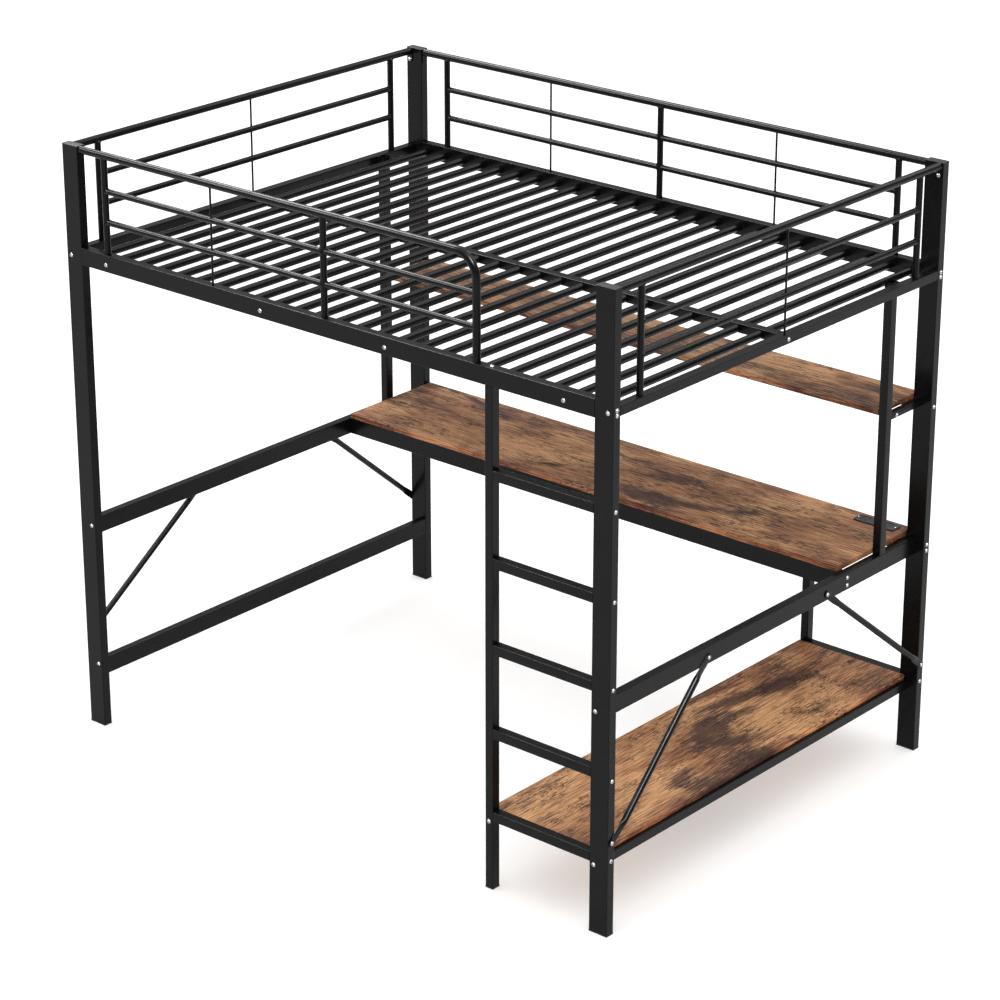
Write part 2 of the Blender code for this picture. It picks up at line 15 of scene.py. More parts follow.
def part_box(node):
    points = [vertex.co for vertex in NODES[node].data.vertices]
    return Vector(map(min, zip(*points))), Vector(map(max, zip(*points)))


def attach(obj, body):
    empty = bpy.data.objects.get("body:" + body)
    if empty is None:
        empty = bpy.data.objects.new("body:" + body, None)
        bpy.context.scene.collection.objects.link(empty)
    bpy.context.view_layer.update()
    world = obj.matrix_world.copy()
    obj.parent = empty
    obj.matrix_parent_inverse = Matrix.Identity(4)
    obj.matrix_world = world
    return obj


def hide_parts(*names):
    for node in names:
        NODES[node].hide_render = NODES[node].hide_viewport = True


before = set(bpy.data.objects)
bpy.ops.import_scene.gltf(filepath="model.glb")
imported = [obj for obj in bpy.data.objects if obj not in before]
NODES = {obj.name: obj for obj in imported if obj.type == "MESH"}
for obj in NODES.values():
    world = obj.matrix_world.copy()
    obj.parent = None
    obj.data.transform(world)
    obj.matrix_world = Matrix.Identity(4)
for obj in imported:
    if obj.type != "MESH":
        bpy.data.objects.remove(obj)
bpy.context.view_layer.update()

# The camera, at the photograph's angle. Angles are in degrees, and the lens and sensor in millimetres.
CAMERA_PLACE = Vector((5.5462, -6.4611, 4.2261))
CAMERA_AZIMUTH = 40.668
CAMERA_ELEVATION = 21.357
CAMERA_LENS = 115.79
CAMERA_SENSOR = 36.0
CAMERA_CLIP = 200.0
CAMERA_SHIFT_Y = -0.05

# The studio: softboxes as (name, azimuth, elevation, height they aim at, side, brightness), seen only
# as reflections. Azimuth 0 is in front of the bed and 90 at the ladder's end.
SOFTBOX_DISTANCE = 7.0
SOFTBOXES = (
    ("softbox_left_back", 254.0, 48.0, 1.7, 3.0, 25.0),
    ("softbox_left_front", 311.0, 33.0, 1.7, 2.4, 26.0),
    ("softbox_right", 64.0, 55.0, 0.45, 2.2, 70.0),
    ("softbox_back", 165.0, 40.0, 1.5, 4.2, 2.2),
)
# The sky lights the rest. It is dim near the horizon, up to the sine of elevation where it turns, and
# then brightens to its full strength overhead.
SKY_LOW = 0.34
SKY_HIGH = 2.15
SKY_TURN = 0.25
# The floor glows a little, so that the bed's shadow stays faint.
FLOOR_SIZE = 60.0
FLOOR_SHADE = 0.74
FLOOR_GLOW = 0.38

# Half the thickness of the frame's tubes. The guardrails' middles lie this far inside the outer faces.
TUBE_HALF = 0.014

# Guardrail tubes. Stations are measured from the middle of the rail.
TOP_TUBE_RADIUS = 0.011
UPRIGHT_RADIUS = 0.0093
MID_RAIL_RADIUS = 0.0087
ROD_RADIUS = 0.003
MID_RAIL_HEIGHTS = (1.5729, 1.6623)
SIDE_UPRIGHT_X = 0.829
SIDE_ROD_X = 0.415
END_UPRIGHT_Y = 0.605
LEG_X = 0.5285
LEG_BEND = 0.0685
BEND_STEPS = 20
TAB_THICKNESS = 0.0025
TAB_RADIUS = 0.010
TAB_DROP = 0.036
TAB_STEPS = 16
WELD_BEAD = 0.0014
ROD_WELD_BEAD = 0.0009
WELD_STEPS = 36
WELD_SIDES = 6
TUBE_SIDES = 28
ROD_SIDES = 14

# Slats.
SLAT_COUNT = 25
SLAT_PITCH = 0.075
SLAT_RADIUS = 0.0112
SLAT_Z = 1.4538
SLAT_PLUG = 0.0020


# ---------------------------------------------------------------- mesh helpers


def finish_piece(name, shape, finish, replaced=(), sharp=35):
    """Turns a bmesh into a smooth-shaded piece that rides on the bed and takes a slot's finish."""
    bmesh.ops.recalc_face_normals(shape, faces=shape.faces)
    mesh = bpy.data.meshes.new(name)
    shape.to_mesh(mesh)
    shape.free()
    mesh.shade_smooth()
    mesh.set_sharp_from_angle(angle=math.radians(sharp))
    piece = bpy.data.objects.new(name, mesh)
    bpy.context.scene.collection.objects.link(piece)
    mesh.materials.append(finish)
    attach(piece, "root")
    if replaced:
        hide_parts(*replaced)


def ring_at(shape, centre, across, up, radius, sides):
    """A ring of points round a centre."""
    ring = []
    for step in range(sides):
        angle = 2 * math.pi * step / sides
        offset = across * math.cos(angle) + up * math.sin(angle)
        ring.append(shape.verts.new(centre + offset * radius))
    return ring


def bridge(shape, ring, following):
    """Faces between two rings of as many points."""
    count = len(ring)
    for step in range(count):
        after = (step + 1) % count
        shape.faces.new((ring[step], ring[after], following[after], following[step]))


def tube(shape, path, radius, sides=TUBE_SIDES):
    """A closed round bar along a path of points."""
    path = [Vector(point) for point in path]
    steps = [(after - before).normalized() for before, after in zip(path, path[1:])]
    tangents = [steps[0]]
    tangents += [(a + b).normalized() for a, b in zip(steps, steps[1:])]
    tangents.append(steps[-1])
    across = steps[0].orthogonal().normalized()
    rings = []
    for centre, tangent in zip(path, tangents):
        across = (across - tangent * across.dot(tangent)).normalized()
        rings.append(ring_at(shape, centre, across, tangent.cross(across), radius, sides))
    for ring, following in zip(rings, rings[1:]):
        bridge(shape, ring, following)
    shape.faces.new(rings[0])
    shape.faces.new(rings[-1])


def weld(shape, centre, main, main_radius, branch, branch_radius, bead=WELD_BEAD):
    """A bead round the line where a branch tube meets a main tube, with the ripple of a weld."""
    main, branch = Vector(main).normalized(), Vector(branch).normalized()
    across = main.cross(branch)
    reach = branch_radius + bead * 0.3
    points = []
    for step in range(WELD_STEPS):
        angle = 2 * math.pi * step / WELD_STEPS
        off = reach * math.sin(angle)
        height = math.sqrt(max(main_radius**2 - off**2, 0.0)) + bead * 0.2
        points.append(Vector(centre) + branch * height + main * (reach * math.cos(angle)) + across * off)
    rings = []
    for step, point in enumerate(points):
        tangent = (points[(step + 1) % WELD_STEPS] - points[step - 1]).normalized()
        side = tangent.cross(branch).normalized()
        ripple = 1 + 0.12 * math.sin(step * 2.1)
        rings.append(ring_at(shape, point, side, tangent.cross(side), bead * ripple, WELD_SIDES))
    for step in range(WELD_STEPS):
        bridge(shape, rings[step], rings[(step + 1) % WELD_STEPS])


# ---------------------------------------------------------------- material helpers


def add_node(tree, kind, inputs=None, **settings):
    """A shader node with its settings and inputs. An input is a value or another node's output."""
    made = tree.nodes.new("ShaderNode" + kind)
    for name, value in settings.items():
        setattr(made, name, value)
    for name, value in (inputs or {}).items():
        if isinstance(value, bpy.types.NodeSocket):
            tree.links.new(value, made.inputs[name])
        else:
            made.inputs[name].default_value = value
    return made


def maths(tree, operation, first, second=0.0):
    """The result of a Math node."""
    made = add_node(tree, "Math", {0: first, 1: second}, operation=operation)
    return made.outputs[0]


def noise(tree, place, scale, detail, roughness, distortion=0.0):
    """A noise pattern, about 0.5 on average."""
    inputs = {
        "Vector": place,
        "Scale": scale,
        "Detail": detail,
        "Roughness": roughness,
        "Distortion": distortion,
    }
    return add_node(tree, "TexNoise", inputs).outputs[0]


def moved(tree, place, scale, offset):
    """Coordinates scaled along each axis, and moved."""
    inputs = {"Vector": place, "Location": offset, "Scale": scale}
    return add_node(tree, "Mapping", inputs).outputs[0]


def spread(tree, value, low, high, to_low, to_high):
    """Maps low..high of a value to another span, with smooth ends."""
    inputs = {"Value": value, "From Min": low, "From Max": high, "To Min": to_low, "To Max": to_high}
    made = add_node(tree, "MapRange", inputs, interpolation_type="SMOOTHSTEP")
    return made.outputs[0]


def blend(tree, share, first, second, kind="MIX"):
    """Two colours mixed by a share."""
    made = add_node(tree, "Mix", data_type="RGBA", blend_type=kind)
    for index, value in ((0, share), (6, first), (7, second)):
        if isinstance(value, bpy.types.NodeSocket):
            tree.links.new(value, made.inputs[index])
        else:
            made.inputs[index].default_value = value
    return made.outputs[2]


def ramp(tree, share, stops):
    """A colour for each share of 0 to 1, through (position, colour) stops."""
    made = add_node(tree, "ValToRGB", {"Fac": share})
    elements = made.color_ramp.elements
    while len(elements) < len(stops):
        elements.new(1.0)
    for element, (position, colour) in zip(elements, stops):
        element.position = position
        element.color = (*colour, 1.0)
    return made.outputs[0]


def new_finish(name):
    """A material with only its Principled shader, and the coordinates in metres that its patterns use."""
    finish = bpy.data.materials.new(name)
    finish.use_nodes = True
    tree = finish.node_tree
    shader = tree.nodes["Principled BSDF"]
    place = add_node(tree, "TexCoord").outputs["Object"]
    return finish, tree, shader, place


def bump(tree, shader, height, strength, distance):
    """Raises the surface by a pattern's height."""
    made = add_node(tree, "Bump", {"Height": height, "Strength": strength, "Distance": distance})
    tree.links.new(made.outputs[0], shader.inputs["Normal"])


# ---------------------------------------------------------------- finishes

# Refractive indices. They are low, because these surfaces are duller than clean gloss.
STEEL_IOR = 1.208
PLASTIC_IOR = 1.38
BOARD_IOR = 1.25

# Each board: the name of its finish, the way its grain runs, a seed, and a painted light factor, which
# makes its colour lighter or darker to stand in for how much light reaches it.
BOARDS = {
    "desk_board": ("rustic_desk_board", "X", 3, 1.06),
    "upper_shelf_board": ("rustic_upper_shelf", "X", 11, 0.92),
    "low_shelf_board": ("rustic_low_shelf", "Y", 23, 1.28),
}
# The rustic boards' colours, from dark to light, and what lies over them.
MOTTLE_STOPS = (
    (0.35, (0.105, 0.037, 0.017)),
    (0.46, (0.305, 0.126, 0.052)),
    (0.58, (0.535, 0.278, 0.124)),
)
PALE_GRAIN = (0.680, 0.415, 0.215, 1.0)
DARK_GRAIN = (0.070, 0.024, 0.011, 1.0)
BURNT = (0.034, 0.014, 0.011, 1.0)
TICK = (0.014, 0.006, 0.004, 1.0)
EDGE_TINT = (1.00, 0.80, 0.72, 1.0)


def powder_coat(name, shade, roughness):
    """Satin black powder coat: a fine orange peel, and slightly uneven colour and gloss."""
    finish, tree, shader, place = new_finish(name)
    cloud = noise(tree, place, 7.0, 4.0, 0.6)
    dark = [c * 0.8 for c in shade]
    light = [c * 1.25 for c in shade]
    colour = ramp(tree, cloud, ((0.3, dark), (0.7, light)))
    tree.links.new(colour, shader.inputs["Base Color"])
    smear = noise(tree, place, 45.0, 3.0, 0.6)
    gloss = spread(tree, smear, 0.25, 0.75, roughness - 0.05, roughness + 0.06)
    tree.links.new(gloss, shader.inputs["Roughness"])
    shader.inputs["IOR"].default_value = STEEL_IOR
    peel = noise(tree, place, 700.0, 2.0, 0.5)
    bump(tree, shader, peel, 0.08, 0.0002)
    return finish


def moulded_plastic(name, shade, roughness):
    """Moulded plastic with a fine spark-eroded texture."""
    finish, tree, shader, place = new_finish(name)
    cloud = noise(tree, place, 60.0, 3.0, 0.5)
    dark = [c * 0.85 for c in shade]
    light = [c * 1.15 for c in shade]
    colour = ramp(tree, cloud, ((0.3, dark), (0.7, light)))
    tree.links.new(colour, shader.inputs["Base Color"])
    grain = noise(tree, place, 1500.0, 2.0, 0.6)
    gloss = spread(tree, grain, 0.3, 0.7, roughness - 0.08, roughness + 0.08)
    tree.links.new(gloss, shader.inputs["Roughness"])
    shader.inputs["IOR"].default_value = PLASTIC_IOR
    bump(tree, shader, grain, 0.3, 0.0001)
    return finish


def zinc_plate(name):
    """Bright zinc on steel: fine turning marks, slightly cloudy, a little uneven in gloss."""
    finish, tree, shader, place = new_finish(name)
    cloud = noise(tree, place, 260.0, 3.0, 0.6)
    colour = ramp(tree, cloud, ((0.3, (0.37, 0.38, 0.40)), (0.7, (0.60, 0.60, 0.61))))
    tree.links.new(colour, shader.inputs["Base Color"])
    shader.inputs["Metallic"].default_value = 1.0
    gloss = spread(tree, cloud, 0.3, 0.7, 0.24, 0.40)
    tree.links.new(gloss, shader.inputs["Roughness"])
    grain = noise(tree, place, 2200.0, 2.0, 0.5)
    bump(tree, shader, grain, 0.2, 0.00005)
    return finish


def rustic_board(name, length_axis, seed, painted_light_factor):
    """Rustic brown board: mottled tan wood, long fine dark grain, burnt patches and clusters of ticks,
    with its whole colour scaled by a painted light factor.
    """
    finish, tree, shader, place = new_finish(name)
    axes = add_node(tree, "SeparateXYZ", {"Vector": place}).outputs
    along, across = (axes[0], axes[1]) if length_axis == "X" else (axes[1], axes[0])
    grain_place = add_node(tree, "CombineXYZ", {0: along, 1: across, 2: axes[2]}).outputs[0]
    draw = random.Random(seed)

    def layer(length_scale, width_scale, detail, roughness=0.55, distortion=0.0):
        """A noise pattern with so many features in a metre along the grain and across it."""
        offset = [draw.uniform(-20, 20) for _ in range(3)]
        scaled = moved(tree, grain_place, (length_scale, width_scale, width_scale), offset)
        return noise(tree, scaled, 1.0, detail, roughness, distortion)

    def tilted(value, other, share):
        """A pattern raised where another one is high."""
        swing = maths(tree, "MULTIPLY", maths(tree, "SUBTRACT", other, 0.5), share)
        return maths(tree, "ADD", value, swing)

    def share_of(value, low, high, most):
        """How much of a colour to lay over, from none to the most, where a pattern is high."""
        return spread(tree, value, low, high, 0.0, most)

    mottle = layer(2.4, 5.5, 5.0, 0.58, 0.5)
    streak = layer(15.0, 380.0, 2.0)
    line = layer(4.0, 300.0, 2.0)
    patch = layer(1.9, 4.4, 6.0, 0.60, 0.8)
    cluster = layer(8.0, 18.0, 3.0)
    tick = layer(52.0, 400.0, 1.5)

    colour = ramp(tree, mottle, MOTTLE_STOPS)
    colour = blend(tree, spread(tree, streak, 0.38, 0.48, 0.38, 0.0), colour, PALE_GRAIN)
    colour = blend(tree, share_of(line, 0.50, 0.62, 0.50), colour, DARK_GRAIN)
    grain = tilted(streak, mottle, -0.30)
    colour = blend(tree, share_of(grain, 0.50, 0.60, 0.72), colour, DARK_GRAIN)
    burnt = tilted(tilted(patch, streak, 0.16), line, 0.16)
    colour = blend(tree, share_of(burnt, 0.515, 0.62, 0.88), colour, BURNT)
    clustered = tilted(tick, cluster, 0.85)
    colour = blend(tree, share_of(clustered, 0.58, 0.68, 0.90), colour, TICK)

    facing = add_node(tree, "SeparateXYZ", {"Vector": add_node(tree, "NewGeometry").outputs["Normal"]})
    upright = maths(tree, "ABSOLUTE", facing.outputs[2])
    edge = spread(tree, upright, 0.2, 0.6, 1.0, 0.0)
    colour = blend(tree, edge, colour, EDGE_TINT, "MULTIPLY")
    # Painted light: the whole colour is made lighter or darker per board, standing in for how much light
    # reaches that board.
    colour = blend(tree, 1.0, colour, (painted_light_factor, painted_light_factor, painted_light_factor, 1.0), "MULTIPLY")
    tree.links.new(colour, shader.inputs["Base Color"])

    gloss = spread(tree, burnt, 0.4, 0.75, 0.50, 0.64)
    tree.links.new(gloss, shader.inputs["Roughness"])
    shader.inputs["IOR"].default_value = BOARD_IOR
    streak_depth = maths(tree, "MULTIPLY", streak, -1.0)
    tick_depth = maths(tree, "MULTIPLY", tick, -0.6)
    bump(tree, shader, maths(tree, "ADD", streak_depth, tick_depth), 0.30, 0.0006)
    return finish


STEEL = powder_coat("black_powder_coat", (0.0036, 0.0036, 0.0037), 0.25)
PLASTIC = moulded_plastic("black_moulded_plastic", (0.008, 0.008, 0.008), 0.50)
OUTLET = moulded_plastic("outlet_moulded_plastic", (0.012, 0.015, 0.018), 0.42)
CONTACT = moulded_plastic("pale_contact_plastic", (0.42, 0.43, 0.44), 0.40)
ZINC = zinc_plate("bright_zinc")


# ---------------------------------------------------------------- the CAD nodes that stay


def smooth_nodes():
    """Gives every CAD node joined-up faces and shading that follows its rounded corners."""
    for node in NODES.values():
        node.data.shade_smooth()
        weld_up = node.modifiers.new("joined", "WELD")
        weld_up.merge_threshold = 0.00001
        shade = node.modifiers.new("shading", "WEIGHTED_NORMAL")
        shade.mode = "FACE_AREA"
        shade.weight = 90
        shade.keep_sharp = False


def finish_nodes():
    """Every CAD node takes a procedural finish in place of its plain one."""
    boards = {board: rustic_board(*recipe) for board, recipe in BOARDS.items()}
    for name, node in NODES.items():
        if name in boards:
            finish = boards[name]
        elif name.endswith(("_foot_glide", "_top_cap", "_housing")):
            finish = PLASTIC
        else:
            finish = STEEL
        for index in range(len(node.material_slots)):
            node.material_slots[index].material = finish


# ---------------------------------------------------------------- guardrails


def rod_weld(shape, centre, tube_radius, way):
    """A small weld where a thin upright rod leaves a tube that runs along X, upwards or downwards."""
    weld(shape, centre, (1, 0, 0), tube_radius, (0, 0, way), ROD_RADIUS, ROD_WELD_BEAD)


def end_tab(shape, station, inwards, top_z):
    """The rounded plate at a top tube's end, drawn in the plane across the rail."""
    bolt_z = top_z + TOP_TUBE_RADIUS - TAB_DROP
    outline = [(TAB_RADIUS, top_z), (-TAB_RADIUS, top_z)]
    for step in range(TAB_STEPS + 1):
        angle = math.pi * (1 + step / TAB_STEPS)
        outline.append((TAB_RADIUS * math.cos(angle), bolt_z + TAB_RADIUS * math.sin(angle)))
    faces = []
    for x in (station, station + inwards * TAB_THICKNESS):
        points = [shape.verts.new((x, y, z)) for y, z in outline]
        faces.append(points)
    bridge(shape, faces[0], faces[1])
    shape.faces.new(faces[0])
    shape.faces.new(faces[1])


def guardrail(name, place, top_path, tabs, uprights, rods, mid_run, foot):
    """A welded guardrail, drawn along X with its plane at y = 0 and then put in its place."""
    shape = bmesh.new()
    top_z = top_path[0][2]
    tube(shape, top_path, TOP_TUBE_RADIUS)
    for station in uprights:
        tube(shape, ((station, 0, foot), (station, 0, top_z)), UPRIGHT_RADIUS)
        weld(shape, (station, 0, top_z), (1, 0, 0), TOP_TUBE_RADIUS, (0, 0, -1), UPRIGHT_RADIUS)
    for z in MID_RAIL_HEIGHTS:
        tube(shape, ((mid_run[0], 0, z), (mid_run[1], 0, z)), MID_RAIL_RADIUS)
        for station in uprights:
            for way in (-1, 1):
                # A rail that ends at an upright has no weld on the upright's far side.
                if mid_run[0] < station + way * UPRIGHT_RADIUS < mid_run[1]:
                    weld(shape, (station, 0, z), (0, 0, 1), UPRIGHT_RADIUS, (way, 0, 0), MID_RAIL_RADIUS)
    for station in rods:
        tube(shape, ((station, 0, foot), (station, 0, top_z)), ROD_RADIUS, ROD_SIDES)
        rod_weld(shape, (station, 0, top_z), TOP_TUBE_RADIUS, -1)
        for z in MID_RAIL_HEIGHTS:
            for way in (-1, 1):
                rod_weld(shape, (station, 0, z), MID_RAIL_RADIUS, way)
    for station, inwards in tabs:
        end_tab(shape, station, inwards, top_z)
    bmesh.ops.transform(shape, matrix=place, verts=shape.verts)
    finish_piece(name + "_welded", shape, STEEL, (name,))


def build_guardrails():
    """Guardrails at the back and both ends, and a shorter one in front that leaves room to climb in."""
    top_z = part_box("rear_guardrail")[1].z - TOP_TUBE_RADIUS
    side_end = -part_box("rear_guardrail")[0].x
    end_end = -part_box("left_guardrail")[0].y
    rear_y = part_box("rear_side_rail")[1].y - TUBE_HALF
    end_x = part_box("right_end_rail")[1].x - TUBE_HALF
    side_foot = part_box("rear_side_rail")[1].z
    end_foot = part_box("left_end_rail")[1].z
    half = TAB_THICKNESS / 2

    guardrail(
        "rear_guardrail",
        Matrix.Translation((0.0, rear_y, 0.0)),
        [(-side_end + half, 0.0, top_z), (side_end - half, 0.0, top_z)],
        [(-side_end, 1), (side_end, -1)],
        (-SIDE_UPRIGHT_X, 0.0, SIDE_UPRIGHT_X),
        (-SIDE_ROD_X, SIDE_ROD_X),
        (-SIDE_UPRIGHT_X, SIDE_UPRIGHT_X),
        side_foot,
    )
    bend = []
    for step in range(BEND_STEPS + 1):
        angle = math.pi / 2 * (1 - step / BEND_STEPS)
        x = LEG_X - LEG_BEND + LEG_BEND * math.cos(angle)
        bend.append((x, 0.0, top_z - LEG_BEND + LEG_BEND * math.sin(angle)))
    guardrail(
        "front_guardrail",
        Matrix.Translation((0.0, -rear_y, 0.0)),
        [(-side_end + half, 0.0, top_z), *bend, (LEG_X, 0.0, side_foot)],
        [(-side_end, 1)],
        (-SIDE_UPRIGHT_X, 0.0),
        (-SIDE_ROD_X,),
        (-SIDE_UPRIGHT_X, LEG_X),
        side_foot,
    )
    for side, sign in (("left", -1), ("right", 1)):
        place = Matrix.Translation((sign * end_x, 0.0, 0.0))
        guardrail(
            side + "_guardrail",
            place @ Matrix.Rotation(math.pi / 2, 4, "Z"),
            [(-end_end + half, 0.0, top_z), (end_end - half, 0.0, top_z)],
            [(-end_end, 1), (end_end, -1)],
            (-END_UPRIGHT_Y, END_UPRIGHT_Y),
            (0.0,),
            (-END_UPRIGHT_Y, END_UPRIGHT_Y),
            end_foot,
        )


# ---------------------------------------------------------------- slats


def build_slats():
    """Two rows of separate round slats, each plugged into the centre beam and a side rail."""
    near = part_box("centre_beam")[1].y - SLAT_PLUG
    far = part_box("rear_side_rail")[0].y + SLAT_PLUG
    first = -SLAT_PITCH * (SLAT_COUNT - 1) / 2
    for row, sign in (("front", -1), ("rear", 1)):
        for number in range(SLAT_COUNT):
            x = first + SLAT_PITCH * number
            shape = bmesh.new()
            tube(shape, ((x, sign * near, SLAT_Z), (x, sign * far, SLAT_Z)), SLAT_RADIUS)
            name = f"{row}_slat_{number + 1:02d}"
            finish_piece(name, shape, STEEL, (row + "_slats",))


# ---------------------------------------------------------------- bolts

BOLT_FLANGE = 0.0060
BOLT_HEAD = 0.0051
BOLT_RISE = 0.0036
SOCKET_APOTHEM = 0.0023
SOCKET_DEPTH = 0.0026
BOLT_SIDES = 24
OUTLET_SCREW = 0.42
# Places of the bolts that don't lie at the middle of the piece they hold. The end bolt's is (x, z), and
# the brace bolts' are (x, y, z), mirrored to each corner.
RAIL_BOLT_Z = 1.4525
RAIL_BOLT_X = (-0.824, -0.225, 0.225, 0.824)
RAIL_END_BOLT = (0.965, 1.453)
END_RAIL_BOLT_HEIGHTS = (1.4606, 1.4469)
SECOND_RUNG_BOLT_Z = 0.449
LOW_BEAM_BOLT_Z = 0.199
DESK_FRONT_BOLT_RISE = 0.0115
DESK_REAR_BOLT_RISE = 0.009
BRACE_LOW_BOLT = (0.9858, 0.711, 0.272)
BRACE_HIGH_BOLT = (0.9528, 0.269, 0.632)
RUNGS = [f"ladder_rung_{number}" for number in range(1, 6)]


def bolt(shape, place, outward, turn, size):
    """A flanged button head with a hexagon socket, standing on the surface at place."""
    outward = Vector(outward).normalized()
    across = outward.orthogonal().normalized()
    across = Matrix.Rotation(turn, 3, outward) @ across
    up = outward.cross(across)
    # The head's outline from its foot to the rim of its socket, as (radius, height).
    profile = (
        (BOLT_FLANGE, -0.0004),
        (BOLT_FLANGE, 0.0006),
        (BOLT_FLANGE - 0.0003, 0.0009),
        (BOLT_HEAD, 0.0010),
        (BOLT_HEAD - 0.0001, 0.0018),
        (BOLT_HEAD - 0.0007, 0.0028),
        (BOLT_HEAD - 0.0018, 0.0034),
        (BOLT_HEAD - 0.0026, BOLT_RISE),
    )
    rings = [
        ring_at(shape, Vector(place) + outward * height * size, across, up, radius * size, BOLT_SIDES)
        for radius, height in profile
    ]
    for depth in (0.0, SOCKET_DEPTH):
        ring = []
        for step in range(BOLT_SIDES):
            angle = 2 * math.pi * step / BOLT_SIDES
            from_corner = (angle + math.pi / 6) % (math.pi / 3) - math.pi / 6
            reach = SOCKET_APOTHEM / math.cos(from_corner)
            offset = (across * math.cos(angle) + up * math.sin(angle)) * reach
            offset += outward * (BOLT_RISE - depth)
            ring.append(shape.verts.new(Vector(place) + offset * size))
        rings.append(ring)
    for ring, following in zip(rings, rings[1:]):
        bridge(shape, ring, following)
    shape.faces.new(rings[-1])
    shape.faces.new(rings[0])


def bolt_group(name, places, outward, size=1.0):
    """One piece of bolts that all face the same way."""
    draw = random.Random(name)
    shape = bmesh.new()
    for place in places:
        bolt(shape, place, outward, draw.uniform(0, math.pi / 3), size)
    finish_piece(name, shape, ZINC, sharp=28)


def middle(node, axis):
    """The middle of a CAD node along X, Y or Z."""
    low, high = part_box(node)
    return (low[axis] + high[axis]) / 2


def build_ladder_bolts():
    """The bolts that hold the ladder's stile and rungs."""
    stile_x = middle("ladder_stile", 0)
    stile_y = middle("ladder_stile", 1)
    front_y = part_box("front_side_rail")[0].y
    rail_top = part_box("front_side_rail")[1].z
    bolt_group("ladder_top_bolt", [(stile_x, stile_y, rail_top)], (0, 0, 1))
    low_beam_z = middle("low_shelf_left_beam", 2)
    bolt_group("ladder_stile_front_bolt", [(stile_x, front_y, low_beam_z)], (0, -1, 0))
    stile_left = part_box("ladder_stile")[0].x
    places = [(stile_left, stile_y, middle(rung, 2)) for rung in RUNGS]
    bolt_group("ladder_stile_rung_bolts", places, (-1, 0, 0))


def post_side_heights(row, side):
    """The heights of the bolts on a post's end face."""
    heights = list(END_RAIL_BOLT_HEIGHTS)
    if row == "front" and side == "right":
        heights += [middle(rung, 2) for rung in RUNGS if rung != "ladder_rung_2"]
        heights.append(SECOND_RUNG_BOLT_Z)
    if row == "rear":
        desk_z = middle("desk_rear_beam", 2)
        heights.append(middle("shelf_rear_rail", 2))
        heights += [desk_z - DESK_REAR_BOLT_RISE, desk_z + DESK_REAR_BOLT_RISE]
        if side == "right":
            heights.append(middle("low_shelf_rear_beam", 2))
    return heights


def build_end_bolts(side, sign):
    """The bolts of one end's rail, desk beam and shelf bracket."""
    out = (sign, 0, 0)
    rail_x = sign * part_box("right_end_rail")[1].x
    bolt_group(side + "_end_rail_bolt", [(rail_x, 0, middle("right_end_rail", 2))], out)
    beam_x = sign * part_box("right_desk_end_beam")[1].x
    beam_y, beam_z = middle("desk_front_beam", 1), middle("desk_front_beam", 2)
    steps = (-DESK_FRONT_BOLT_RISE, DESK_FRONT_BOLT_RISE)
    bolt_group(side + "_desk_beam_bolts", [(beam_x, beam_y, beam_z + step) for step in steps], out)
    shelf_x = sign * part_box("right_shelf_bracket")[1].x
    shelf_y, shelf_z = middle("shelf_front_rail", 1), middle("shelf_front_rail", 2)
    bolt_group(side + "_shelf_bolt", [(shelf_x, shelf_y, shelf_z)], out)


def build_corner_bolts(side, sign, row, way):
    """The bolts of one post, of the guardrail's tab against it and of its brace."""
    out = (sign, 0, 0)
    rail_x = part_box("right_end_rail")[1].x
    post_y = way * abs(middle("front_left_post", 1))
    places = [(sign * rail_x, post_y, z) for z in post_side_heights(row, side)]
    bolt_group(f"{row}_{side}_post_side_bolts", places, out)

    face_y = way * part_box("rear_side_rail")[1].y
    beam_x = middle(side + "_desk_end_beam", 0)
    places = [(sign * RAIL_END_BOLT[0], face_y, RAIL_END_BOLT[1]), (beam_x, face_y, LOW_BEAM_BOLT_Z)]
    places.append((beam_x, face_y, middle(side + "_desk_end_beam", 2)))
    bolt_group(f"{row}_{side}_post_face_bolts", places, (0, way, 0))

    tab_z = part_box("rear_guardrail")[1].z - TAB_DROP
    tab_y = way * (abs(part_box("left_guardrail")[0].y) - TAB_THICKNESS)
    place = (sign * (rail_x - TUBE_HALF), tab_y, tab_z)
    bolt_group(f"{row}_{side}_end_tab_bolt", [place], (0, -way, 0))

    places = [(sign * x, way * y, z) for x, y, z in (BRACE_LOW_BOLT, BRACE_HIGH_BOLT)]
    bolt_group(f"{row}_{side}_brace_bolts", places, out)


def build_bolts():
    """The bolts that hold the frame, in groups by the part that their heads lie on."""
    for row, way, face in (("front", -1, 0), ("rear", 1, 1)):
        face_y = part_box(row + "_side_rail")[face].y
        places = [(x, face_y, RAIL_BOLT_Z) for x in RAIL_BOLT_X]
        bolt_group(row + "_side_rail_bolts", places, (0, way, 0))
    build_ladder_bolts()
    for side, sign in (("left", -1), ("right", 1)):
        build_end_bolts(side, sign)
        for row, way in (("front", -1), ("rear", 1)):
            build_corner_bolts(side, sign, row, way)


# ---------------------------------------------------------------- outlet

# Outlines are (width, depth, corner radius).
SOCKET_OUTLINE = (0.031, 0.033, 0.007)
SLOT_OUTLINE = (0.0019, 0.0082, 0.0004)
EARTH_OUTLINE = (0.0050, 0.0050, 0.0024)
PORT_OUTLINE = (0.0140, 0.0064, 0.0008)
TONGUE_OUTLINE = (0.0112, 0.0022, 0.0004)
SOCKET_OFFSET = 0.036
SOCKET_RECESS = 0.0012
SLOT_PLACE = (0.0064, 0.004)
EARTH_PLACE = -0.0085
HOLE_DEPTH = 0.0036
PORT_OFFSET = 0.0085
TONGUE_ROOT = 0.0003
TONGUE_TOP = 0.0006
SCREW_INSET = 0.0065
PLATE_CORNER = 0.006
# The faceplate's rounded rim, as insets at shares of its height.
PLATE_RIM = ((0.0, 0.0), (0.0, 0.6), (0.0006, 0.9), (0.0015, 1.0))


